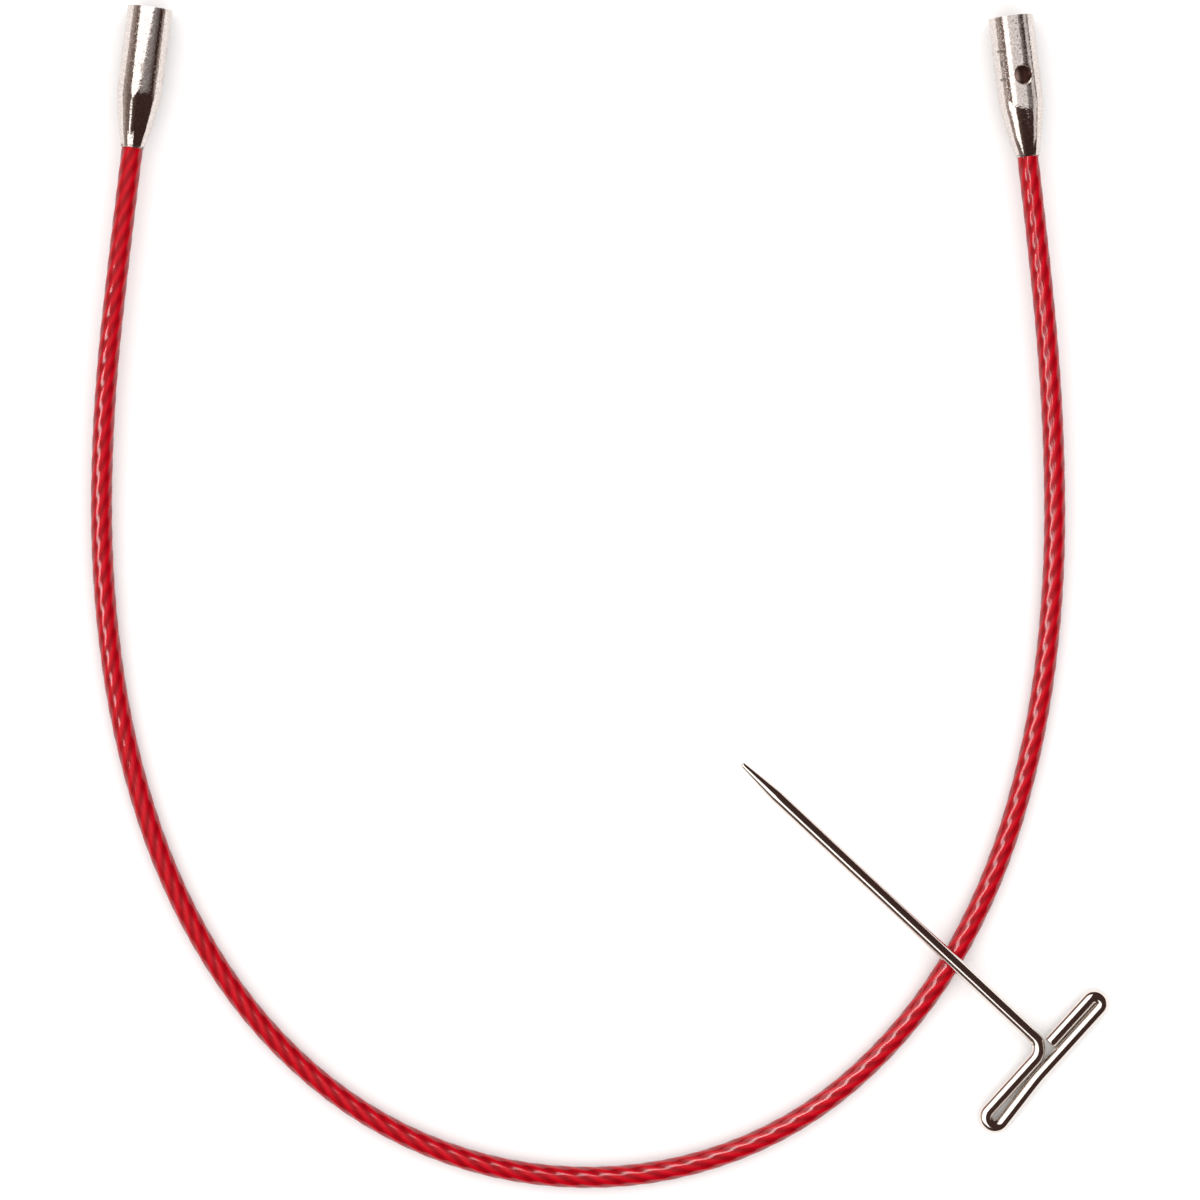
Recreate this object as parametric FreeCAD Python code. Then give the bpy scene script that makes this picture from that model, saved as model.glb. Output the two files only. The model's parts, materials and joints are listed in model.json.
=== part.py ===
import FreeCAD, Part
import math
import os
from FreeCAD import Placement, Rotation, Vector

# Interchangeable cord of a circular knitting needle, with its tightening key.
#
# A nylon-covered steel cord lies on a table in a wide U. Each end is glued and swaged into a
# nickel-plated connector sleeve that a needle tip screws into. The key, a wire bent to a T,
# lies across the cord: its shaft goes into a sleeve's cross hole while a tip is tightened.
#
# Millimetres. The table is z = 0 and +Z points up. The origin is the bottom centre of the
# sleeves and the key together. +Y points towards the sleeves' open mouths.

# ---- connector sleeve, measured along its axis from the open mouth -------------------------
sleeve_radius = 1.625
sleeve_length = 10.15
shoulder_from_mouth = 6.45  # where the barrel meets the first taper
shoulder_blend = 5.0
knee_from_mouth = 8.95  # where the taper steepens
knee_radius = 1.14
knee_blend = 3.0
neck_wall = 0.06
neck_rounding = 0.03
mouth_edge = 0.08

# ---- needle thread inside the mouth --------------------------------------------------------
thread_major_radius = 1.0
thread_minor_radius = 0.84
thread_pitch = 0.4
thread_crest = 0.05  # width of the groove's flat bottom
thread_flank = math.radians(30)
mouth_countersink = 0.15
relief_length = 0.45
relief_depth = 0.03

# ---- cross hole for the key ----------------------------------------------------------------
key_hole_from_mouth = 4.3
key_hole_clearance = 0.10
key_hole_edge = 0.07  # how far the broken edge stands outside the hole
land = 0.20  # plain bore left beside the hole, on both sides
web = 0.60  # solid wall between the threaded bore and the cord's socket

# ---- cord ----------------------------------------------------------------------------------
cord_radius = 0.775
core_radius = 0.60
guide_clearance = 0.01  # swaged neck round the cord
glue_thickness = 0.125
glue_end = 0.10  # glue between the cord's end and the socket's floor
lead_out = 7.0  # straight stretch from each neck

# Where the cord leaves each neck, its heading there in degrees from +X, and how far the
# sleeve's key hole is turned from straight up, about that heading.
exit_a, heading_a, hole_turn_a = (-34.79, 30.50), -97.3, 172.0
exit_b, heading_b, hole_turn_b = (29.78, 29.86), -83.0, -12.0

# The cord's route from sleeve a to sleeve b: x, y, and the share of the drop from the necks'
# height that is still to come there.
route = [
    (-37.0, 11.1, 0.6),
    (-37.1, -0.8, 0.2),
    (-35.5, -12.6, 0.0),
    (-31.8, -23.7, 0.0),
    (-25.7, -33.2, 0.0),
    (-17.4, -40.1, 0.0),
    (-7.3, -43.8, 0.0),
    (3.5, -43.8, 0.0),
    (13.6, -40.0, 0.0),
    (21.7, -32.6, 0.0),
    (27.2, -23.1, 0.0),
    (30.4, -12.4, 0.0),
    (31.8, -1.1, 0.2),
    (31.7, 10.7, 0.6),
]
arc_share = 0.45  # of the shorter run beside a corner

# ---- tightening key, laid out flat with its shaft along y ----------------------------------
wire_radius = 0.5
key_length = 31.93  # handle's outer strand to the tip
shaft_bend = 1.2
shaft_lean = math.radians(0.9)
long_arm = 6.12  # shaft to the middle of the end loop
short_arm = 4.70
handle_bulge = 0.38  # how far the long arm's outer strand stands out
strand_gap = 0.05
bulge_start = 2.0
bulge_blend = 12.0
loop_share = 0.47  # of a loop's width, as the radius of each half of its turn
cut_end = 0.45  # from the shaft to the wire's cut end
tip_length = 3.4
tip_radius = 0.185

# How the key lies: the handle on the table, the shaft resting on the cord.
key_foot = (32.14, -35.37)
handle_heading = 47.8
crossing_from_handle = 10.53
resting_gap = 0.05

# ---- sizes worked out from those above -----------------------------------------------------
key_hole_radius = wire_radius + key_hole_clearance
guide_radius = cord_radius + guide_clearance
neck_radius = guide_radius + neck_wall
socket_radius = cord_radius + glue_thickness
relief_end = key_hole_from_mouth - key_hole_radius - land
thread_end = relief_end - relief_length
bore_depth = key_hole_from_mouth + key_hole_radius + land
socket_floor = bore_depth + web
cord_start = socket_floor + glue_end
socket_end = knee_from_mouth
insertion = sleeve_length - cord_start


def rounded_path(points, radii):
    """The edges of straight runs through the points, with an arc at each inner point."""
    edges = []
    reached = points[0]
    for before, corner, after, radius in zip(points, points[1:], points[2:], radii):
        back = (before - corner).normalize()
        ahead = (after - corner).normalize()
        half_turn = (math.pi - back.getAngle(ahead)) / 2
        tangent = radius * math.tan(half_turn)
        inward = (back + ahead).normalize()
        start = corner + back * tangent
        middle = corner + inward * (radius / math.cos(half_turn) - radius)
        end = corner + ahead * tangent
        if (start - reached).Length > 1e-6:
            edges.append(Part.LineSegment(reached, start).toShape())
        edges.append(Part.Arc(start, middle, end).toShape())
        reached = end
    edges.append(Part.LineSegment(reached, points[-1]).toShape())
    return edges


def lathe(edges):
    """A closed outline in the XZ plane, turned about the Z axis."""
    return Part.Face(Part.Wire(edges)).revolve(Vector(), Vector(0, 0, 1), 360)


def rod(radius, start, end):
    """A cylinder about the Z axis from one height to another."""
    return Part.makeCylinder(radius, end - start, Vector(0, 0, start))


def sweep(edges, radius, hole_radius=0):
    """A round wire along the edges, or a tube where it has a hole."""
    start = edges[0].Vertexes[0].Point
    heading = edges[0].Vertexes[-1].Point - start
    section = Part.Face(Part.Wire(Part.makeCircle(radius, start, heading)))
    if hole_radius:
        hole = Part.Face(Part.Wire(Part.makeCircle(hole_radius, start, heading)))
        section = section.cut(hole).Faces[0]
    return Part.Wire(edges).makePipe(section)


# ---- connector sleeve ----------------------------------------------------------------------
def sleeve_body():
    """The turned and swaged outside, mouth at z = 0 and neck upwards."""
    outline = [
        Vector(0, 0, 0),
        Vector(sleeve_radius - mouth_edge, 0, 0),
        Vector(sleeve_radius, 0, mouth_edge),
        Vector(sleeve_radius, 0, shoulder_from_mouth),
        Vector(knee_radius, 0, knee_from_mouth),
        Vector(neck_radius, 0, sleeve_length),
        Vector(0, 0, sleeve_length),
    ]
    radii = [mouth_edge / 4, mouth_edge / 4, shoulder_blend, knee_blend, neck_rounding]
    edges = rounded_path(outline, radii)
    edges.append(Part.LineSegment(outline[-1], outline[0]).toShape())
    return lathe(edges)


def threaded_bore():
    """The drilled bore with its countersunk mouth, thread relief and helical groove."""
    bore = rod(thread_minor_radius, -web, bore_depth)
    wide = thread_major_radius + mouth_countersink
    countersink = Part.makeCone(wide, thread_minor_radius, wide - thread_minor_radius)
    relief = rod(thread_major_radius + relief_depth, thread_end, relief_end)
    depth = thread_major_radius - thread_minor_radius
    overlap = depth / 4
    bottom = thread_crest / 2
    top = bottom + (depth + overlap) * math.tan(thread_flank)
    inside = thread_minor_radius - overlap
    groove = Part.makePolygon([
        Vector(inside, 0, -top),
        Vector(thread_major_radius, 0, -bottom),
        Vector(thread_major_radius, 0, bottom),
        Vector(inside, 0, top),
        Vector(inside, 0, -top),
    ])
    run_in = 2 * thread_pitch
    rise = run_in + thread_end + relief_length / 2
    helix = Part.makeHelix(thread_pitch, rise, thread_minor_radius)
    thread = Part.Wire(helix.Edges).makePipeShell([groove], True, True)
    thread.translate(Vector(0, 0, -run_in))
    return [bore, countersink, relief, thread]


def key_hole():
    """The cross hole through one wall, along X, with its outer edge broken."""
    rim = key_hole_radius + key_hole_edge
    flat = math.sqrt(sleeve_radius**2 - rim**2)
    flare = sleeve_radius - flat + key_hole_edge
    outwards = Vector(1, 0, 0)
    hole = Part.makeCylinder(key_hole_radius, 2 * sleeve_radius, Vector(), outwards)
    edge = Part.makeCone(key_hole_radius, rim + flare, key_hole_edge + flare,
                         Vector(flat - key_hole_edge, 0, 0), outwards)
    for cut in (hole, edge):
        cut.translate(Vector(0, 0, key_hole_from_mouth))
    return [hole, edge]


def connector_sleeve():
    """One sleeve, bored for the thread, the key, the cord's socket and the neck."""
    socket = rod(socket_radius, socket_floor, socket_end)
    guide = rod(guide_radius, socket_end, sleeve_length + web)
    return sleeve_body().cut(threaded_bore() + key_hole() + [socket, guide])


def adhesive_bond():
    """The glue that fills the socket round the cord's end and behind it."""
    return rod(socket_radius, socket_floor, socket_end).cut(
        rod(cord_radius, cord_start, socket_end))


def in_place(shape, exit_point, heading, hole_turn):
    """Lays a sleeve's piece on the table with its neck at the exit point."""
    angle = math.radians(heading)
    along = Vector(math.cos(angle), math.sin(angle), 0)
    mouth = Vector(*exit_point, sleeve_radius) - along * sleeve_length
    upright = Rotation(Vector(0, 0, 1), Vector(), along, "ZXY")
    turned = Rotation(along, hole_turn)
    placed = shape.copy()
    placed.Placement = Placement(mouth, turned * upright)
    return placed


# ---- cord ----------------------------------------------------------------------------------
def cord_points():
    """The route with both straight ends, from inside one sleeve to inside the other."""
    drop = sleeve_radius - cord_radius
    inner = [Vector(x, y, cord_radius + share * drop) for x, y, share in route]
    ends = []
    for exit_point, heading in ((exit_a, heading_a), (exit_b, heading_b)):
        angle = math.radians(heading)
        along = Vector(math.cos(angle), math.sin(angle), 0)
        neck = Vector(*exit_point, sleeve_radius)
        ends.append([neck - along * insertion, neck + along * lead_out])
    return ends[0] + inner + ends[1][::-1]


def cord_radii(points):
    """Each corner's arc, as large as its two runs allow."""
    radii = []
    for before, corner, after in zip(points, points[1:], points[2:]):
        back, ahead = before - corner, after - corner
        half_turn = (math.pi - back.getAngle(ahead)) / 2
        radii.append(arc_share * min(back.Length, ahead.Length) / math.tan(half_turn))
    return radii


# ---- tightening key ------------------------------------------------------------------------
def key_wire():
    """The key flat in the XY plane, its handle along x and its tip at the far end of y."""
    strand = 2 * wire_radius + strand_gap
    long_width = strand + handle_bulge
    long_end = -long_arm - long_width / 2
    short_end = short_arm + strand / 2
    inner = handle_bulge + strand
    tip_start = key_length - tip_length
    points = [
        Vector((tip_start - inner) * math.tan(shaft_lean), tip_start, 0),
        Vector(0, inner, 0),
        Vector(long_end, inner, 0),
        Vector(long_end, 0, 0),
        Vector(-bulge_start, handle_bulge, 0),
        Vector(short_end, handle_bulge, 0),
        Vector(short_end, inner, 0),
        Vector(cut_end, inner, 0),
    ]
    long_turn, short_turn = loop_share * long_width, loop_share * strand
    radii = [shaft_bend, long_turn, long_turn, bulge_blend, short_turn, short_turn]
    wire = sweep(rounded_path(points, radii), wire_radius)
    towards_tip = (points[0] - points[1]).normalize()
    tip = Part.makeCone(wire_radius, tip_radius, tip_length, points[0], towards_tip)
    return wire.fuse(tip).removeSplitter()


def key_pitch():
    """How far the shaft tilts up when it rests on the cord, in radians."""
    higher = cord_radius - wire_radius
    reach = math.hypot(crossing_from_handle, higher)
    apart = wire_radius + cord_radius + resting_gap
    return math.atan2(higher, crossing_from_handle) + math.asin(apart / reach)


def tightening_key():
    """The key as it lies on the table, across the cord."""
    tilt = Rotation(Vector(1, 0, 0), math.degrees(key_pitch()))
    turn = Rotation(Vector(0, 0, 1), handle_heading)
    key = key_wire()
    key.Placement = Placement(Vector(*key_foot, wire_radius), turn * tilt)
    return key


# ---- the set -------------------------------------------------------------------------------
def build():
    """Every node by name."""
    sleeve, bond = connector_sleeve(), adhesive_bond()
    points = cord_points()
    radii = cord_radii(points)
    path = rounded_path(points, radii)
    length = sum(edge.Length for edge in path)
    nodes = {
        "connector_sleeve_a": in_place(sleeve, exit_a, heading_a, hole_turn_a),
        "connector_sleeve_b": in_place(sleeve, exit_b, heading_b, hole_turn_b),
        "adhesive_bond_a": in_place(bond, exit_a, heading_a, hole_turn_a),
        "adhesive_bond_b": in_place(bond, exit_b, heading_b, hole_turn_b),
        "cord_jacket": sweep(path, cord_radius, core_radius),
        "cord_core": sweep(path, core_radius),
        "tightening_key": tightening_key(),
    }
    section = math.pi * (cord_radius**2 - core_radius**2)
    print("cord radii", [round(radius, 1) for radius in radii])
    print(f"cord length {length:.1f}, free {length - 2 * insertion:.1f}")
    print(f"jacket volume over section times length "
          f"{nodes['cord_jacket'].Volume / (section * length):.4f}")
    print(f"key pitch {math.degrees(key_pitch()):.2f} degrees")
    return nodes


os.makedirs("parts", exist_ok=True)
for name, shape in build().items():
    box = shape.BoundBox
    print(f"{name}: {len(shape.Solids)} solid, valid {shape.isValid()}, "
          f"{shape.Volume:.3f} mm3, x {box.XMin:.2f} {box.XMax:.2f}, "
          f"y {box.YMin:.2f} {box.YMax:.2f}, z {box.ZMin:.3f} {box.ZMax:.2f}")
    shape.exportStep(f"parts/{name}.step")
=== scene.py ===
# %% [markdown]
# # The interchangeable cord of a circular knitting needle
#
# A short nylon-covered steel cord lies on a table in a wide U. Each end is fixed in a small
# nickel-plated sleeve that a needle tip screws into. A key, bent from one wire to a T, lies
# across the cord. The exact bodies come from CAD. This lesson dresses them: the cord's
# rope and its red jacket, the polished sleeves with their threads, and the wire key.

import json
import math

import bmesh
import bpy
from mathutils import Matrix, Vector


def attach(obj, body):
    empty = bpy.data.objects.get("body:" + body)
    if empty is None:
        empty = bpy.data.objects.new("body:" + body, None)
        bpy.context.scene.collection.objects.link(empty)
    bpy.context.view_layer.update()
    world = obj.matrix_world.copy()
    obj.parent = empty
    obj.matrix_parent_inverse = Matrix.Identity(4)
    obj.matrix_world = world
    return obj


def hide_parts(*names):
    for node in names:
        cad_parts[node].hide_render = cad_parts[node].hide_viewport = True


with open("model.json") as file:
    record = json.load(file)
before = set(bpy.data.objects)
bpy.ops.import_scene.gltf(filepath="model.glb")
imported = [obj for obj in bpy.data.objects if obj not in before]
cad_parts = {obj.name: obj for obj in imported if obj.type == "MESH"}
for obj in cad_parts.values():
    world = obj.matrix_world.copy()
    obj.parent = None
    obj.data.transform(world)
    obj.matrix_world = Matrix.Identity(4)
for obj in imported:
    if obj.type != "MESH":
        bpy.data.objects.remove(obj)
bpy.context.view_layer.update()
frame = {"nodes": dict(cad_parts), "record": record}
MM = 0.001
mounts = {mount["name"]: mount for mount in frame["record"]["mounts"]}

# %% [markdown]
# ## The camera
#
# The set is looked at straight from above. A long lens some way off keeps the sleeves'
# ends from leaning outwards, so their outlines stay true.

# %% The camera
VIEW_WIDTH = 86.64 * MM
VIEW_CENTRE = (-1.07 * MM, -2.10 * MM)
MIDDLE_HEIGHT = 1 * MM
LENS = 200.0
SENSOR = 36.0

camera = bpy.data.objects.new("camera", bpy.data.cameras.new("camera"))
camera.data.lens = LENS
camera.data.sensor_width = SENSOR
camera.data.clip_start = 0.01
camera.location = (*VIEW_CENTRE, VIEW_WIDTH * LENS / SENSOR + MIDDLE_HEIGHT)
bpy.context.collection.objects.link(camera)
bpy.context.scene.camera = camera
print(f"camera {camera.location.z * 1000:.0f} mm above the table")

# %% [markdown]
# ## The cord's line
#
# The cord is stiff enough to keep one easy curve, and it sinks from the height of the
# necks to the table within a few centimetres. A NURBS spline of order 3 has just this
# character: it never turns sharply, and it takes its shape from a handful of points.
# Everything that follows the cord reads its line from this one spline.

# %% The cord's line
CORD_RADIUS = 0.775 * MM
STEPS_PER_SPAN = 48
ROUTE = [
    (-34.237, 34.815, 1.625),
    (-35.679, 23.557, 1.625),
    (-37.0, 11.1, 1.285),
    (-37.1, -0.8, 0.945),
    (-35.5, -12.6, 0.775),
    (-31.8, -23.7, 0.775),
    (-25.7, -33.2, 0.775),
    (-17.4, -40.1, 0.775),
    (-7.3, -43.8, 0.775),
    (3.5, -43.8, 0.775),
    (13.6, -40.0, 0.775),
    (21.7, -32.6, 0.775),
    (27.2, -23.1, 0.775),
    (30.4, -12.4, 0.775),
    (31.8, -1.1, 0.945),
    (31.7, 10.7, 1.285),
    (30.633, 22.912, 1.625),
    (29.250, 34.178, 1.625),
]


def centreline(points, steps):
    """The points of a smooth NURBS spline through a route, as an object that is only edges."""
    curve = bpy.data.curves.new("cord_line", "CURVE")
    curve.dimensions = "3D"
    curve.resolution_u = steps
    spline = curve.splines.new("NURBS")
    spline.points.add(len(points) - 1)
    for control, point in zip(spline.points, points):
        control.co = (*(Vector(point) * MM), 1)
    spline.order_u = 3
    spline.use_endpoint_u = True
    holder = bpy.data.objects.new("cord_line", curve)
    bpy.context.collection.objects.link(holder)
    mesh = bpy.data.meshes.new_from_object(holder)
    bpy.data.objects.remove(holder)
    line = bpy.data.objects.new("cord_line", mesh)
    bpy.context.collection.objects.link(line)
    return line


cord_line = centreline(ROUTE, STEPS_PER_SPAN)
cord_path = [vertex.co.copy() for vertex in cord_line.data.vertices]
cord_length = sum((b - a).length for a, b in zip(cord_path, cord_path[1:]))
print(f"cord line {cord_length * 1000:.1f} mm in {len(cord_path)} points")

# %% [markdown]
# ## A small kit for Geometry Nodes
#
# Pieces that repeat or follow a line are made with Geometry Nodes. The trees are short, so
# one method that makes a node, sets it and fills its sockets is enough. Each tree names its
# sizes as inputs. When it has run, its result is kept as a plain mesh and the modifier goes.


# %% A kit for Geometry Nodes
class Tree:
    """A Geometry Nodes tree with named inputs for its sizes."""

    def __init__(self, name, sizes):
        self.group = bpy.data.node_groups.new(name, "GeometryNodeTree")
        surface = self.group.interface
        surface.new_socket("Geometry", in_out="INPUT", socket_type="NodeSocketGeometry")
        surface.new_socket("Geometry", in_out="OUTPUT", socket_type="NodeSocketGeometry")
        self.sizes = {}
        for size, value in sizes.items():
            socket = surface.new_socket(size, in_out="INPUT", socket_type="NodeSocketFloat")
            self.sizes[size] = (socket.identifier, value)
        self.given = self.group.nodes.new("NodeGroupInput")
        self.result = self.group.nodes.new("NodeGroupOutput")

    def size(self, name):
        """The socket of a named size."""
        return self.given.outputs[name]

    def add(self, kind, settings=None, values=None, output=0):
        """Makes a node, sets it, then fills its sockets. Returns one of its outputs."""
        node = self.group.nodes.new(kind)
        for key, value in (settings or {}).items():
            setattr(node, key, value)
        for key, value in (values or {}).items():
            if isinstance(value, bpy.types.NodeSocket):
                self.group.links.new(value, node.inputs[key])
            else:
                node.inputs[key].default_value = value
        return node.outputs[output]

    def sum(self, operation, *values):
        """One Math node."""
        return self.add("ShaderNodeMath", {"operation": operation}, dict(enumerate(values)))

    def vector(self, operation, values):
        """One Vector Math node."""
        return self.add("ShaderNodeVectorMath", {"operation": operation}, values)

    def finish(self, geometry, material):
        """Real geometry with its material, as the tree's result."""
        real = self.add("GeometryNodeRealizeInstances", None, {0: geometry})
        dressed = self.add("GeometryNodeSetMaterial", None, {0: real, "Material": material})
        self.group.links.new(dressed, self.result.inputs[0])

    def made_on(self, holder, name):
        """Runs the tree on an object and returns the result as a plain mesh object."""
        modifier = holder.modifiers.new(name, "NODES")
        modifier.node_group = self.group
        for identifier, value in self.sizes.values():
            modifier[identifier] = value
        graph = bpy.context.evaluated_depsgraph_get()
        graph.update()
        mesh = bpy.data.meshes.new_from_object(holder.evaluated_get(graph))
        holder.modifiers.remove(modifier)
        piece = bpy.data.objects.new(name, mesh)
        bpy.context.collection.objects.link(piece)
        print(f"{name}: {len(mesh.polygons)} faces")
        return piece


# %% [markdown]
# ## A small kit for materials
#
# A material's pattern is a formula over the surface, and a formula reads best as one. So a
# node's output is wrapped in a small class whose + - * / add the Math nodes. Everything
# else comes from one method that makes a node from its type, settings and socket values.


# %% A kit for materials
class Reading:
    """A node's output. Sums with it add Math nodes."""

    def __init__(self, finish, socket):
        self.finish, self.socket = finish, socket

    def math(self, operation, *values):
        return self.finish.node("ShaderNodeMath", {"operation": operation}, list(values))

    def __add__(self, other):
        return self.math("ADD", self, other)

    def __sub__(self, other):
        return self.math("SUBTRACT", self, other)

    def __rsub__(self, other):
        return self.math("SUBTRACT", other, self)

    def __mul__(self, other):
        return self.math("MULTIPLY", self, other)

    def __truediv__(self, other):
        return self.math("DIVIDE", self, other)

    __radd__ = __add__
    __rmul__ = __mul__

    def absolute(self):
        return self.math("ABSOLUTE", self)

    def clamp(self, low, high):
        return self.math("MINIMUM", self.math("MAXIMUM", self, low), high)


class Finish:
    """One material, with a Principled shader to fill."""

    def __init__(self, name, **shader_values):
        self.material = bpy.data.materials.new(name)
        self.material.use_nodes = True
        self.tree = self.material.node_tree
        self.shader = self.tree.nodes["Principled BSDF"]
        self.set(**shader_values)

    def set(self, **values):
        """Fills the shader's sockets, by name with _ for a space."""
        for key, value in values.items():
            self.fill(self.shader.inputs[key.replace("_", " ")], value)

    def fill(self, socket, value):
        if isinstance(value, Reading):
            self.tree.links.new(value.socket, socket)
        elif isinstance(value, (tuple, list)) and socket.type == "RGBA" and len(value) == 3:
            socket.default_value = (*value, 1)
        else:
            socket.default_value = value

    def node(self, kind, settings=None, values=None, output=0):
        """Makes any node: its settings first, then its sockets' values or links."""
        node = self.tree.nodes.new(kind)
        for key, value in (settings or {}).items():
            setattr(node, key, value)
        pairs = enumerate(values) if isinstance(values, list) else (values or {}).items()
        for key, value in pairs:
            self.fill(node.inputs[key], value)
        return Reading(self, node.outputs[output])

    def noise(self, scale, detail=2.0, roughness=0.5):
        """Soft random patches, scale per metre, from 0 to 1."""
        at = self.node("ShaderNodeTexCoord", None, None, "Object")
        values = {"Vector": at, "Scale": scale, "Detail": detail, "Roughness": roughness}
        return self.node("ShaderNodeTexNoise", None, values)

    def blend(self, share, first, second):
        """A colour between two, by a share from 0 to 1."""
        values = {0: share, 6: first, 7: second}
        return self.node("ShaderNodeMix", {"data_type": "RGBA"}, values, 2)

    def bump(self, height, depth, strength=1.0):
        """A Bump node's normal, from a height from 0 to 1 that is depth metres deep."""
        values = {"Height": height, "Distance": depth, "Strength": strength}
        return self.node("ShaderNodeBump", None, values)

    def attribute(self, name):
        """A value that the piece's own mesh carries."""
        return self.node("ShaderNodeAttribute", {"attribute_name": name}, None, "Fac")


# %% [markdown]
# ## The steel rope
#
# Inside the jacket is a wire rope: six strands laid round a seventh, right-handed, so that
# from any side they slant like the stroke of a Z. A rope follows a rule exactly, which is
# what Geometry Nodes are for: copy the line six times, push each copy off to its own
# angle, let that angle turn with the length, and give every copy a round section.

# %% The steel rope
STRANDS = 6
STRAND_RADIUS = 0.19 * MM
STRAND_CIRCLE = 0.395 * MM
LAY_LENGTH = 9.7 * MM
STRAND_SIDES = 10
ROPE_STEP = 0.30 * MM


def rope_steel():
    """Bright drawn steel, a little cloudy."""
    finish = Finish("rope_steel", Metallic=1.0, Roughness=0.22)
    dull = finish.noise(2600, detail=3)
    finish.set(Base_Color=finish.blend(dull, (0.72, 0.70, 0.68), (0.86, 0.84, 0.82)))
    return finish.material


def rope(line):
    """Six strands round a straight one, along a line."""
    tree = Tree("rope", {
        "Strand radius": STRAND_RADIUS,
        "Circle radius": STRAND_CIRCLE,
        "Lay length": LAY_LENGTH,
        "Step": ROPE_STEP,
    })
    curve = tree.add("GeometryNodeMeshToCurve", None, {0: tree.given.outputs[0]})
    even = tree.add("GeometryNodeResampleCurve", {"mode": "LENGTH"},
                    {0: curve, "Length": tree.size("Step")})
    copies = tree.group.nodes.new("GeometryNodeDuplicateElements")
    copies.domain = "SPLINE"
    tree.group.links.new(even, copies.inputs[0])
    copies.inputs["Amount"].default_value = STRANDS
    run = tree.add("GeometryNodeSplineParameter", None, None, "Length")
    turns = tree.sum("DIVIDE", run, tree.size("Lay length"))
    own = tree.sum("DIVIDE", copies.outputs["Duplicate Index"], STRANDS)
    angle = tree.sum("MULTIPLY", tree.sum("ADD", turns, own), math.tau)
    normal = tree.add("GeometryNodeInputNormal")
    tangent = tree.add("GeometryNodeInputTangent")
    aside = tree.vector("CROSS_PRODUCT", {0: tangent, 1: normal})
    out = tree.vector("SCALE", {0: normal, "Scale": tree.sum("COSINE", angle)})
    over = tree.vector("SCALE", {0: aside, "Scale": tree.sum("SINE", angle)})
    unit = tree.vector("ADD", {0: out, 1: over})
    offset = tree.vector("SCALE", {0: unit, "Scale": tree.size("Circle radius")})
    laid = tree.add("GeometryNodeSetPosition", None, {0: copies.outputs[0], "Offset": offset})
    both = tree.group.nodes.new("GeometryNodeJoinGeometry")
    tree.group.links.new(even, both.inputs[0])
    tree.group.links.new(laid, both.inputs[0])
    section = tree.add("GeometryNodeCurvePrimitiveCircle", None,
                       {"Resolution": STRAND_SIDES, "Radius": tree.size("Strand radius")})
    tube = tree.add("GeometryNodeCurveToMesh", None,
                    {0: both.outputs[0], 1: section, "Fill Caps": True})
    smooth = tree.add("GeometryNodeSetShadeSmooth", None, {0: tube})
    tree.finish(smooth, rope_steel())
    return tree.made_on(line, "steel_rope")


steel_rope = rope(cord_line)

# %% [markdown]
# ## The nylon jacket
#
# The jacket is clear red nylon, drawn tight over the rope, so its surface rises a little
# over each strand and its gloss wavers there. It could be a plain tube with a bump, but the
# outline and the highlight both show the ridges, so they are in the mesh: a round section
# whose radius goes up and down six times round, turning with the strands inside. The same
# wave is stored on the mesh, and the colour reads it: over a strand the red is lighter, a
# painted reflection of the steel under the nylon, and between two strands it is darker,
# painted shade. That draws the slanting stripes.

# %% The nylon jacket
RIDGE_HEIGHT = 0.026 * MM
RIDGE_SINK = 0.3
JACKET_SIDES = 48
JACKET_STEP = 0.16 * MM
# Painted shade between the strands, and the strands' painted reflection through the nylon.
SHADED_GAP_RED = (0.30, 0.0002, 0.005)
LIT_STRAND_RED = (0.58, 0.0004, 0.010)


def red_nylon():
    """Clear red nylon: a milky body, with painted shade between the ridges and a painted
    reflection of the steel over them, under a wet gloss.
    """
    finish = Finish("red_nylon", IOR=1.53, Transmission_Weight=0.25)
    finish.set(Coat_Weight=0.9, Coat_Roughness=0.04, Coat_IOR=1.4, Roughness=0.3)
    finish.set(Specular_IOR_Level=0.0)
    ridge = finish.attribute("ridge")
    # Lighter over each strand, a painted reflection of the steel inside, and darker between
    # strands, painted shade; the noise clouds it.
    body = (ridge + finish.noise(1500, detail=2) * 0.6 - 0.3).clamp(0, 1)
    finish.set(Base_Color=finish.blend(body, SHADED_GAP_RED, LIT_STRAND_RED))
    ripple = finish.noise(2300, detail=1)
    finish.set(Normal=finish.bump(ripple, 0.01 * MM, 0.4))
    return finish.material


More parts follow.
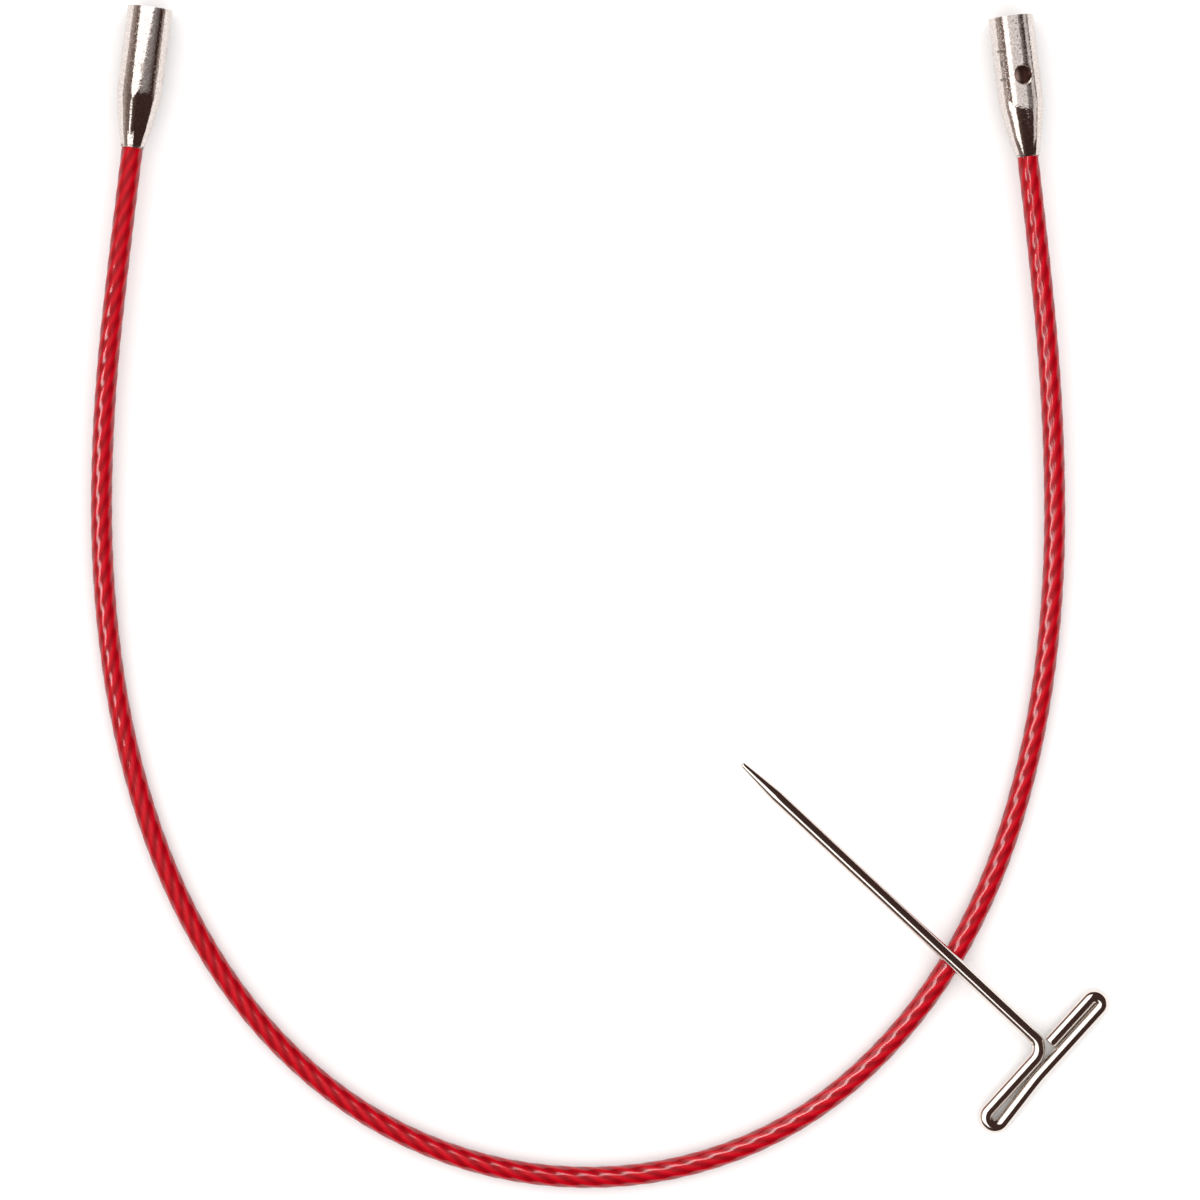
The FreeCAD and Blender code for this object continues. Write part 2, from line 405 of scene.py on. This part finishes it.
def jacket(line):
    """A tube along a line, ridged over the rope's strands."""
    tree = Tree("jacket", {
        "Radius": CORD_RADIUS - RIDGE_SINK * RIDGE_HEIGHT,
        "Ridge height": RIDGE_HEIGHT,
        "Lay length": LAY_LENGTH,
        "Step": JACKET_STEP,
    })
    curve = tree.add("GeometryNodeMeshToCurve", None, {0: tree.given.outputs[0]})
    even = tree.add("GeometryNodeResampleCurve", {"mode": "LENGTH"},
                    {0: curve, "Length": tree.size("Step")})
    run = tree.add("GeometryNodeSplineParameter", None, None, "Length")
    kept_run = tree.group.nodes.new("GeometryNodeCaptureAttribute")
    kept_run.capture_items.new("FLOAT", "Run")
    tree.group.links.new(even, kept_run.inputs[0])
    tree.group.links.new(run, kept_run.inputs["Run"])
    circle = tree.add("GeometryNodeCurvePrimitiveCircle", None,
                      {"Resolution": JACKET_SIDES, "Radius": tree.size("Radius")})
    share = tree.add("GeometryNodeSplineParameter", None, None, "Factor")
    kept_share = tree.group.nodes.new("GeometryNodeCaptureAttribute")
    kept_share.capture_items.new("FLOAT", "Share")
    tree.group.links.new(circle, kept_share.inputs[0])
    tree.group.links.new(share, kept_share.inputs["Share"])
    tube = tree.add("GeometryNodeCurveToMesh", None,
                    {0: kept_run.outputs[0], 1: kept_share.outputs[0], "Fill Caps": True})
    turns = tree.sum("DIVIDE", kept_run.outputs["Run"], tree.size("Lay length"))
    phase = tree.sum("SUBTRACT", kept_share.outputs["Share"], turns)
    wave = tree.sum("COSINE", tree.sum("MULTIPLY", phase, STRANDS * math.tau))
    height = tree.sum("MULTIPLY", wave, tree.sum("MULTIPLY", tree.size("Ridge height"), 0.5))
    normal = tree.add("GeometryNodeInputNormal")
    offset = tree.vector("SCALE", {0: normal, "Scale": height})
    ridged = tree.add("GeometryNodeSetPosition", None, {0: tube, "Offset": offset})
    share_up = tree.sum("MULTIPLY_ADD", wave, 0.5, 0.5)
    marked = tree.add("GeometryNodeStoreNamedAttribute", {"data_type": "FLOAT"},
                      {0: ridged, "Name": "ridge", "Value": share_up})
    smooth = tree.add("GeometryNodeSetShadeSmooth", None, {0: marked})
    tree.finish(smooth, red_nylon())
    return tree.made_on(line, "nylon_jacket")


nylon_jacket = jacket(cord_line)
bpy.data.objects.remove(cord_line)

# %% [markdown]
# ## The connector sleeves
#
# Each sleeve is turned from bar: a straight barrel, a long taper swaged down on the cord,
# and an open mouth with the needle's thread. A turned part is a profile spun about an axis,
# so it is a grid: one row for each point of the profile, all the way round. The thread is
# only a rule for how far out a point of the bore lies, given how deep it is and which way
# it faces. The grid's two directions are also kept as a UV map, for marks on the surface.

# %% Corners and arcs in a profile
SLEEVE_RADIUS = 1.625
SLEEVE_LENGTH = 10.15
SLEEVE_SIDES = 128
COUNTERSINK = 1.15
FACE_FLAT = 0.3
MOUTH_RUN = 0.08
MOUTH_ARC = 0.04
BARREL_END = 6.45
SHOULDER_ARC = 5.0
NECK_FROM = 8.95
NECK_SHOULDER = 1.14
NECK_ARC = 3.0
NECK_RADIUS = 0.845
NECK_BORE = 0.785
LIP_ARC = 0.03
STRAIGHT_TURN = 1e-4


def rounded(points, radii, spacing):
    """Points along straight runs, with an arc at each inner corner that has a radius."""
    line = [Vector(points[0])]
    for before, corner, after, radius in zip(points, points[1:], points[2:], radii):
        corner = Vector(corner)
        back = (Vector(before) - corner).normalized()
        ahead = (Vector(after) - corner).normalized()
        half_turn = (math.pi - back.angle(ahead)) / 2
        if radius == 0 or half_turn < STRAIGHT_TURN:
            line.append(corner)
            continue
        centre = corner + (back + ahead).normalized() * (radius / math.cos(half_turn))
        start = corner + back * radius * math.tan(half_turn)
        arm = start - centre
        steps = max(3, math.ceil(2 * half_turn * radius / spacing))
        sideways = -back * radius
        for step in range(steps + 1):
            turn = 2 * half_turn * step / steps
            line.append(centre + arm * math.cos(turn) + sideways * math.sin(turn))
    line.append(Vector(points[-1]))
    return line


outside = rounded(
    [(0, COUNTERSINK), (0, SLEEVE_RADIUS), (MOUTH_RUN, SLEEVE_RADIUS),
     (BARREL_END, SLEEVE_RADIUS), (NECK_FROM, NECK_SHOULDER), (SLEEVE_LENGTH, NECK_RADIUS),
     (SLEEVE_LENGTH, NECK_BORE)],
    [0, MOUTH_ARC, SHOULDER_ARC, NECK_ARC, LIP_ARC], spacing=0.08)
outside[1:1] = [Vector((0, COUNTERSINK + FACE_FLAT * step / 4)) for step in range(1, 4)]
print(f"outside profile: {len(outside)} points")

# %% The thread's rule
THREAD_PITCH = 0.4
THREAD_MINOR = 0.84
THREAD_MAJOR = 1.0
THREAD_CREST = 0.05
THREAD_FLANK = math.radians(30)
THREAD_END = 3.05
THREAD_ROW = 0.027


def bore_radius(depth, turn):
    """How far out the threaded bore's wall is, at a depth and a share of a turn."""
    across = abs((depth / THREAD_PITCH - turn + 0.5) % 1 - 0.5) * THREAD_PITCH
    flank = max(0, across - THREAD_CREST / 2) / math.tan(THREAD_FLANK)
    return max(THREAD_MAJOR - flank, THREAD_MINOR, COUNTERSINK - depth)


row_count = int(THREAD_END / THREAD_ROW) + 1
thread_rows = [THREAD_END - THREAD_ROW * row for row in range(row_count)]
print(f"thread: {THREAD_END / THREAD_PITCH:.1f} turns in {len(thread_rows)} rows")


# %% Spinning a profile
def spun(name, rows, sides, inner=0):
    """A closed grid of (depth, radius or a rule for it), spun.

    The first rows, as many as inner says, are a bore: their map coordinate along is negative,
    so that a finish can tell the inside from the outside.
    """
    shape = bmesh.new()
    layer = shape.loops.layers.uv.new("round_and_along")
    rings = []
    for depth, radius in rows:
        if radius == 0:
            rings.append([shape.verts.new((0, 0, depth))] * (sides + 1))
            continue
        ring = []
        for side in range(sides):
            turn = side / sides
            out = radius(depth, turn) if callable(radius) else radius
            angle = turn * math.tau
            ring.append(shape.verts.new((out * math.cos(angle), out * math.sin(angle), depth)))
        rings.append(ring + ring[:1])
    levels = [-depth if row < inner else depth for row, (depth, _) in enumerate(rows)]
    for low, high, level, next_level in zip(rings, rings[1:], levels, levels[1:]):
        for side in range(sides):
            corners = [low[side], low[side + 1], high[side + 1], high[side]]
            spots = [(side, level), (side + 1, level), (side + 1, next_level), (side, next_level)]
            kept = [at for at, corner in enumerate(corners) if corner not in corners[:at]]
            face = shape.faces.new([corners[at] for at in kept])
            face.smooth = True
            for loop, at in zip(face.loops, kept):
                loop[layer].uv = (spots[at][0] / sides, spots[at][1])
    bmesh.ops.recalc_face_normals(shape, faces=shape.faces)
    mesh = bpy.data.meshes.new(name)
    shape.to_mesh(mesh)
    shape.free()
    piece = bpy.data.objects.new(name, mesh)
    bpy.context.collection.objects.link(piece)
    return piece


def less(piece, cutter):
    """Cuts one piece from another with a Boolean, applied, and removes the cutter."""
    cut = piece.modifiers.new("cut", "BOOLEAN")
    cut.operation = "DIFFERENCE"
    cut.solver = "EXACT"
    cut.object = cutter
    graph = bpy.context.evaluated_depsgraph_get()
    graph.update()
    mesh = bpy.data.meshes.new_from_object(piece.evaluated_get(graph))
    piece.modifiers.clear()
    piece.data = mesh
    bpy.data.objects.remove(cutter)
    return piece


# %% Polished nickel
TICKS = (
    # depth, length along, share of a turn, width as a share of a turn
    (2.45, 0.13, 0.400, 0.032),
    (3.35, 0.42, 0.405, 0.008),
    (4.50, 0.13, 0.408, 0.026),
)
WORN_DEPTH = 4.4
WORN_TURN = 0.72
BARREL_MIDDLE = 3.0
BARREL_HALF = 3.1
LIP_DEPTH = 10.12
DULL_NICKEL = (0.55, 0.485, 0.45)
BRIGHT_NICKEL = (0.79, 0.73, 0.695)
# A darker, redder nickel for inside the bores and the key hole: painted shade.
SHADED_BORE_NICKEL = (0.60, 0.42, 0.38)
ENGRAVED = (0.10, 0.08, 0.07)


def window(reading, middle, half, edge):
    """1 where a reading is within half of a middle, fading to 0 over an edge."""
    away = (reading - middle).absolute()
    return ((half + edge - away) / edge).clamp(0, 1)


def nickel():
    """Polished nickel plate: fine grain, three engraved ticks, a worn spot, a torn lip and
    painted shade inside the bores.
    """
    finish = Finish("connector_nickel", Metallic=1.0)
    at = finish.node("ShaderNodeUVMap", {"uv_map": "round_and_along"})
    parts = {"Vector": at}
    around = finish.node("ShaderNodeSeparateXYZ", None, parts, "X")
    along = finish.node("ShaderNodeSeparateXYZ", None, parts, "Y")
    ticks = 0.0
    for depth, length, turn, width in TICKS:
        tick = window(along, depth, length / 2, 0.05) * window(around, turn, width, 0.006)
        ticks = tick + ticks
    worn = window(along, WORN_DEPTH, 0.15, 0.5) * window(around, WORN_TURN, 0.03, 0.06)
    inside = (0.02 - along * 20).clamp(0, 1)
    fine = finish.noise(7600, detail=2, roughness=0.6)
    grain = (fine * 3.6 - 1.3 - worn * (fine - 0.4) * 4).clamp(0, 1)
    bright = finish.blend(grain, DULL_NICKEL, BRIGHT_NICKEL)
    # Inside the bores the colour goes darker and redder: painted shade.
    plated_and_bore_shade = finish.blend(inside, bright, SHADED_BORE_NICKEL)
    lip = window(along, LIP_DEPTH, 0.12, 0.05)
    torn = (finish.noise(2600, detail=2) * 12 - 5.8).clamp(0, 1) * lip
    dark = (ticks * 0.7 + torn * 0.75).clamp(0, 1)
    finish.set(Base_Color=finish.blend(dark, plated_and_bore_shade, ENGRAVED))
    barrel = window(along, BARREL_MIDDLE, BARREL_HALF, 0.7)
    spots = (finish.noise(6100, detail=1) * 6 - 3.2).clamp(0, 1) * barrel
    matt = spots * 0.34 + ticks * 0.3 + inside * 0.3 + worn * 0.2 + lip * 0.2
    finish.set(Roughness=0.06 + matt)
    height = fine * 0.6 + finish.noise(1900, detail=2) * 0.6 - ticks * 1.2 - worn * fine
    finish.set(Normal=finish.bump(height, 0.012 * MM, 0.8))
    return finish.material


connector_nickel = nickel()


# %% The connector sleeves
KEY_HOLE_DEPTH = 4.3
KEY_HOLE_RADIUS = 0.6
HOLE_CHAMFER_FROM = 1.43
HOLE_ARC = 0.10
DRILL_LENGTH = 2.0
DRILL_SIDES = 96
RELIEF_END = 3.5
RELIEF_RADIUS = 1.03
BORE_END = 5.1
SOCKET_FLOOR = 5.7
SOCKET_RADIUS = 0.9
THREAD_FROM_MOUTH = 1.5
SHARP_EDGE = math.radians(28)


def connector_sleeve(end):
    """One sleeve at its place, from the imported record's needle thread and key hole."""
    name = f"turned_sleeve_{end}"
    rows = [(BORE_END, 0), (BORE_END, THREAD_MINOR), (RELIEF_END, THREAD_MINOR)]
    rows += [(RELIEF_END, RELIEF_RADIUS), (THREAD_END, RELIEF_RADIUS)]
    rows += [(depth, bore_radius) for depth in thread_rows if depth > 0]
    bored = len(rows)
    rows += [(point.x, point.y) for point in outside]
    rows += [(NECK_FROM, NECK_BORE), (NECK_FROM, SOCKET_RADIUS)]
    rows += [(SOCKET_FLOOR, SOCKET_RADIUS), (SOCKET_FLOOR, 0)]
    sleeve = spun(name, rows, SLEEVE_SIDES, inner=bored)
    wide = KEY_HOLE_RADIUS + DRILL_LENGTH - HOLE_CHAMFER_FROM
    wall = [(0, KEY_HOLE_RADIUS), (HOLE_CHAMFER_FROM, KEY_HOLE_RADIUS), (DRILL_LENGTH, wide)]
    hole_line = rounded(wall, [HOLE_ARC], spacing=0.02)
    drill_rows = [(0, 0)] + [(point.x, point.y) for point in hole_line] + [(DRILL_LENGTH, 0)]
    drill = spun("drill", drill_rows, DRILL_SIDES, inner=3)
    sideways = Matrix.Rotation(-math.pi / 2, 4, "X")
    drill.data.transform(Matrix.Translation((0, 0, KEY_HOLE_DEPTH)) @ sideways)
    less(sleeve, drill)
    thread, hole = mounts[f"needle_thread_{end}"], mounts[f"key_hole_{end}"]
    along = -Vector(thread["axis"])
    top = Vector(hole["axis"])
    mouth = Vector(thread["pos_m"]) - along * THREAD_FROM_MOUTH * MM
    side = top.cross(along)
    turned = Matrix((side, top, along)).transposed().to_4x4()
    place = Matrix.Translation(mouth) @ turned @ Matrix.Scale(MM, 4)
    sleeve.data.transform(place)
    sleeve.data.set_sharp_from_angle(angle=SHARP_EDGE)
    sleeve.data.materials.clear()
    sleeve.data.materials.append(connector_nickel)
    print(f"{name}: {len(sleeve.data.polygons)} faces, mouth at {mouth * 1000}")
    return sleeve


sleeves = {end: connector_sleeve(end) for end in "ab"}

# %% [markdown]
# ## The adhesive
#
# The glue that holds the cord can't be seen from outside. It keeps its exact CAD shape and
# gets the dull amber of cured adhesive, for anyone who opens the model up.


# %% The adhesive
def cured_adhesive():
    """Cured clear adhesive, a little amber."""
    finish = Finish("cured_adhesive", Roughness=0.45)
    cloud = finish.noise(1800, detail=2)
    finish.set(Base_Color=finish.blend(cloud, (0.45, 0.38, 0.22), (0.60, 0.54, 0.36)))
    return finish.material


adhesive = cured_adhesive()
for name in ("adhesive_bond_a", "adhesive_bond_b"):
    node = frame["nodes"][name]
    node.data.materials.clear()
    node.data.materials.append(adhesive)

# %% [markdown]
# ## The tightening key
#
# The key is one length of drawn wire, bent twice back on itself for the handle and ground
# to a blunt point. A wire is a line with a thickness, so the line is laid out flat first,
# each of its points carries its own thickness, and a short tree sweeps a round section.

# %% The key's line
WIRE_RADIUS = 0.5
KEY_LENGTH = 31.93
HANDLE_BULGE = 0.38
STRAND_GAP = 0.05
STRAND = 2 * WIRE_RADIUS + STRAND_GAP
END_ROUNDING = 0.47
LONG_ARM = 6.12
SHORT_ARM = 4.70
SHAFT_LEAN = math.radians(0.9)
TIP_LENGTH = 3.4
TIP_RADIUS = 0.185
NOSE_LENGTH = 0.13
BLUNT_SHARE = 0.35
BURR_LENGTH = 0.10
BURR_DEPTH = 0.16
WIRE_SIDES = 40
CUT_END = 0.45
KEY_FOOT = (32.14, -35.37)
KEY_HEADING = math.radians(47.8)
CROSSING = 10.53
KEY_CLEARANCE = 0.05
BEND_RADIUS = 1.2
BOW_RADIUS = 12.0
BOW_AT = -2.0
SAME_PLACE = 1e-6


def key_outline():
    """The key's centreline, flat, from its tip to its cut end."""
    inner = HANDLE_BULGE + STRAND
    long_width = STRAND + HANDLE_BULGE
    long_end = -LONG_ARM - long_width / 2
    short_end = SHORT_ARM + STRAND / 2
    points = [
        ((KEY_LENGTH - inner) * math.tan(SHAFT_LEAN), KEY_LENGTH),
        (0, inner),
        (long_end, inner),
        (long_end, 0),
        (BOW_AT, HANDLE_BULGE),
        (short_end, HANDLE_BULGE),
        (short_end, inner),
        (CUT_END, inner),
    ]
    loop, end = END_ROUNDING * long_width, END_ROUNDING * STRAND
    return rounded(points, [BEND_RADIUS, loop, loop, BOW_RADIUS, end, end], spacing=0.10)


def with_stops(line, stops):
    """A line with extra points at given distances from its start."""
    run, at, marked = 0.0, 0, [line[0]]
    for before, after in zip(line, line[1:]):
        step = (after - before).length
        while at < len(stops) and stops[at] < run + step - SAME_PLACE:
            if stops[at] > run + SAME_PLACE:
                marked.append(before.lerp(after, (stops[at] - run) / step))
            at += 1
        marked.append(after)
        run += step
    return marked


wire_line = key_outline()
wire_length = sum((b - a).length for a, b in zip(wire_line, wire_line[1:]))
grind_stops = [0.01, 0.03, 0.07, NOSE_LENGTH] + [0.3 * step for step in range(1, 12)]
shaft_stops = [TIP_LENGTH + 0.6 * step for step in range(45)]
end_stops = [wire_length - back for back in (0.16, 0.10, 0.05, 0.02)]
key_flat = with_stops(wire_line, grind_stops + shaft_stops + end_stops)
print(f"key: {wire_length:.1f} mm of wire in {len(key_flat)} points")


# %% The key's metal
def key_nickel():
    """Bright nickel on drawn wire, very slightly clouded and rippled."""
    finish = Finish("key_nickel", Metallic=1.0)
    cloud = finish.noise(700, detail=3)
    finish.set(Base_Color=finish.blend(cloud, (0.72, 0.655, 0.60), (0.84, 0.785, 0.735)))
    finish.set(Roughness=finish.noise(2100, detail=3) * 0.08 + 0.06)
    peel = finish.noise(5200, detail=2)
    finish.set(Normal=finish.bump(peel, 0.003 * MM, 0.5))
    return finish.material


# %% The tightening key
def key_thickness(run):
    """The wire's radius at a distance from the tip: a ground taper and two dressed ends."""
    taper = TIP_RADIUS + (WIRE_RADIUS - TIP_RADIUS) * min(1, run / TIP_LENGTH)
    left = wire_length - run
    nose = math.sqrt(max(0, 1 - max(0, 1 - run / NOSE_LENGTH) ** 2))
    burr = 1 - BURR_DEPTH * max(0, 1 - left / BURR_LENGTH) ** 2
    return taper * (BLUNT_SHARE + (1 - BLUNT_SHARE) * nose) * burr


def tightening_key():
    """The wire swept along its line, as it lies: handle on the table, shaft on the cord."""
    line = bpy.data.meshes.new("key_line")
    pairs = [(at, at + 1) for at in range(len(key_flat) - 1)]
    line.from_pydata([(point.x, point.y, 0) for point in key_flat], pairs, [])
    thickness = line.attributes.new("thickness", "FLOAT", "POINT")
    run = 0.0
    for at, point in enumerate(key_flat):
        run += (point - key_flat[at - 1]).length if at else 0
        thickness.data[at].value = key_thickness(run)
    holder = bpy.data.objects.new("key_line", line)
    bpy.context.collection.objects.link(holder)
    tree = Tree("wire", {"Thickness factor": 1.0})
    curve = tree.add("GeometryNodeMeshToCurve", None, {0: tree.given.outputs[0]})
    thick = tree.add("GeometryNodeInputNamedAttribute", {"data_type": "FLOAT"},
                     {"Name": "thickness"})
    radius = tree.sum("MULTIPLY", thick, tree.size("Thickness factor"))
    section = tree.add("GeometryNodeCurvePrimitiveCircle", None,
                       {"Resolution": WIRE_SIDES, "Radius": 1.0})
    tube = tree.add("GeometryNodeCurveToMesh", None,
                    {0: curve, 1: section, "Scale": radius, "Fill Caps": True})
    smooth = tree.add("GeometryNodeSetShadeSmooth", None, {0: tube})
    tree.finish(smooth, key_nickel())
    key = tree.made_on(holder, "bent_key")
    bpy.data.objects.remove(holder)
    higher = CORD_RADIUS / MM - WIRE_RADIUS
    apart = WIRE_RADIUS + CORD_RADIUS / MM + KEY_CLEARANCE
    pitch = math.atan2(higher, CROSSING) + math.asin(apart / math.hypot(CROSSING, higher))
    lie = Matrix.Rotation(KEY_HEADING, 4, "Z") @ Matrix.Rotation(pitch, 4, "X")
    foot = Matrix.Translation(Vector((*KEY_FOOT, WIRE_RADIUS)) * MM)
    key.data.transform(foot @ lie @ Matrix.Scale(MM, 4))
    return key


bent_key = tightening_key()

# %% [markdown]
# ## What moves with what
#
# The cord, its rope and the sleeves are one body. The key is a loose piece of its own.

# %% Bodies, and the CAD parts hidden
for piece, body, node, slot in (
    (nylon_jacket, "cord_set", "cord_jacket", "red_nylon"),
    (steel_rope, "cord_set", "cord_core", "steel_rope"),
    (sleeves["a"], "cord_set", "connector_sleeve_a", "connector_nickel"),
    (sleeves["b"], "cord_set", "connector_sleeve_b", "connector_nickel"),
    (bent_key, "key", "tightening_key", "key_nickel"),
):
    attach(piece, body)
    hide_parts(node)

# %% [markdown]
# ## The table and the light
#
# Polished metal shows only what stands round it: here a white table, a dark room with light
# ends to left and right, and white cards. A card could stand in for all pieces at once,
# but then a streak that suits a sleeve would turn the cord pink. So each card is a lamp that
# only gloss sees, and light linking gives it to one piece. The matt colours come from one
# large soft lamp overhead. The table has a lamp of its own, far wider, so that it stays
# evenly white to its edge. A white shell that only the camera sees closes the room behind it.

# %% The table
TABLE_WIDTH = 8.0
BACKDROP_RADIUS = 3.9

bpy.ops.mesh.primitive_plane_add(size=TABLE_WIDTH)
table = bpy.context.object
table.name = "table"
top = Finish("table_top", Base_Color=(0.86, 0.86, 0.86), Roughness=0.9)
top.set(Specular_IOR_Level=0.0)
table.data.materials.append(top.material)

# %% The backdrop
bpy.ops.mesh.primitive_uv_sphere_add(segments=64, ring_count=32, radius=BACKDROP_RADIUS)
backdrop = bpy.context.object
backdrop.name = "backdrop"
paper = Finish("backdrop_paper", Base_Color=(0, 0, 0), Specular_IOR_Level=0.0)
paper.set(Emission_Color=(1.0, 0.995, 0.99), Emission_Strength=1.0)
backdrop.data.materials.append(paper.material)
for kind in ("diffuse", "glossy", "transmission", "shadow", "volume_scatter"):
    setattr(backdrop, f"visible_{kind}", False)

# %% The room, from its left side to its right
ROOM = (
    (0.0, (0.60, 0.52, 0.48)),
    (0.06, (0.27, 0.21, 0.185)),
    (0.25, (0.13, 0.09, 0.075)),
    (0.45, (0.055, 0.030, 0.026)),
    (0.98, (0.055, 0.030, 0.026)),
    (1.0, (0.50, 0.42, 0.39)),
)

bpy.context.scene.view_settings.view_transform = "Standard"
world = bpy.data.worlds.new("studio")
bpy.context.scene.world = world
world.use_nodes = True
nodes, links = world.node_tree.nodes, world.node_tree.links
background = nodes["Background"]
direction = nodes.new("ShaderNodeTexCoord")
parts = nodes.new("ShaderNodeSeparateXYZ")
links.new(direction.outputs["Generated"], parts.inputs[0])
ramp = nodes.new("ShaderNodeValToRGB")
while len(ramp.color_ramp.elements) < len(ROOM):
    ramp.color_ramp.elements.new(0.5)
for element, (place, colour) in zip(ramp.color_ramp.elements, ROOM):
    element.position = place
    element.color = (*colour, 1)
rightwards = nodes.new("ShaderNodeMath")
rightwards.operation = "MULTIPLY_ADD"
rightwards.inputs[1].default_value = 0.5
rightwards.inputs[2].default_value = 0.5
links.new(parts.outputs["X"], rightwards.inputs[0])
links.new(rightwards.outputs[0], ramp.inputs[0])
links.new(ramp.outputs[0], background.inputs[0])

# %% [markdown]
# ## The lamps and the cards
#
# A card is placed by asking where a ray from above goes when the metal throws it back. A
# long round barrel throws it sideways only, by twice the angle its surface leans. So a card
# that runs from one sideways distance to another draws a streak between two lines on the
# barrel. On the taper the same card slips off the end, and another one takes over.


# %% The lamps and the cards
CARD_HEIGHT = 95


def panel(name, centre, size, radiance, seen_by, only=(), turn=0.0, aim=None, spread=180):
    """A light for one kind of ray and, if asked, for some pieces, level or aimed at a point."""
    light = bpy.data.lights.new(name, "AREA")
    light.shape = "RECTANGLE"
    light.size, light.size_y = size[0] * MM, size[1] * MM
    light.spread = math.radians(spread)
    half = light.spread / 2
    narrowed = 1 - half / math.tan(half) if spread < 180 else 1
    light.energy = radiance * light.size * light.size_y * math.pi * narrowed
    lamp = bpy.data.objects.new(name, light)
    lamp.location = Vector(centre) * MM
    lamp.rotation_euler.z = math.radians(turn)
    if aim:
        lamp.rotation_euler = (Vector(aim) - Vector(centre)).to_track_quat("-Z", "Y").to_euler()
    lamp.visible_camera = False
    for kind in ("diffuse", "glossy", "transmission"):
        setattr(lamp, f"visible_{kind}", kind in seen_by)
    bpy.context.collection.objects.link(lamp)
    if only:
        lamp.light_linking.receiver_collection = bpy.data.collections.new(f"for_{name}")
        for piece in only:
            lamp.light_linking.receiver_collection.objects.link(piece)
    return lamp


def card(name, piece, low, high, radiance, height=CARD_HEIGHT):
    """A level card between two corners that only one piece mirrors."""
    centre = ((low[0] + high[0]) / 2, (low[1] + high[1]) / 2, height)
    return panel(name, centre, (high[0] - low[0], high[1] - low[1]), radiance, "glossy", [piece])


def gleam(name, centre, size, radiance, aim, spread):
    """A card that throws a narrow beam at one stretch of the cord."""
    return panel(name, centre, size, radiance, "glossy", [nylon_jacket], aim=aim, spread=spread)


overhead = panel("overhead", (-100, 100, 1400), (1600, 1600), 4.8, "diffuse", [table])
for receiver in overhead.light_linking.receiver_collection.collection_objects:
    receiver.light_linking.link_state = "EXCLUDE"
panel("table_light", (0, 0, 1400), (14000, 14000), 1.46, "diffuse", [table])
panel("through", (-100, 100, 1400), (2600, 2600), 1.25, "transmission")
panel("streak_a", (-38.3, 45.3, 25), (31, 20), 1.9, "glossy", [sleeves["a"]], 24)
card("fade_a", sleeves["a"], (-32, 33), (-12, 48), 0.28, 25)
card("dusk_a", sleeves["a"], (-12, 31), (2, 46), 0.13, 25)
card("thin_a", sleeves["a"], (-112, -13), (-88, 12), 1.7)
card("neck_a", sleeves["a"], (-160, -60), (-40, -13), 1.7)
card("streak_b", sleeves["b"], (-73, 12), (-11, 55), 1.9)
card("beige_b", sleeves["b"], (-11, 13), (88, 60), 0.9)
card("dim_b", sleeves["b"], (88, 13), (190, 60), 0.22)
card("edge_b", sleeves["b"], (98, 5), (330, 80), 0.75, 40)
panel("chamfer_b", (-20, 190, 30), (260, 60), 2.0, "glossy", [sleeves["b"]], aim=(29, 36, 2))
card("taper_b", sleeves["b"], (-250, -60), (-38, 12), 1.8)
card("key_card", bent_key, (-700, -420), (35, 420), 1.7, 400)
gleam("cord_west", (-110, 0, CARD_HEIGHT), (46, 130), 15.0, (-36, 0, 0), 34)
gleam("cord_east", (14, 30, CARD_HEIGHT), (16, 70), 10.0, (31, 15, 0), 44)
gleam("cord_corner", (-14, 2, CARD_HEIGHT), (44, 36), 14.0, (18, -38, 0), 60)
gleam("cord_broad", (-70, 70, CARD_HEIGHT), (170, 130), 3.0, (18, -38, 0), 60)
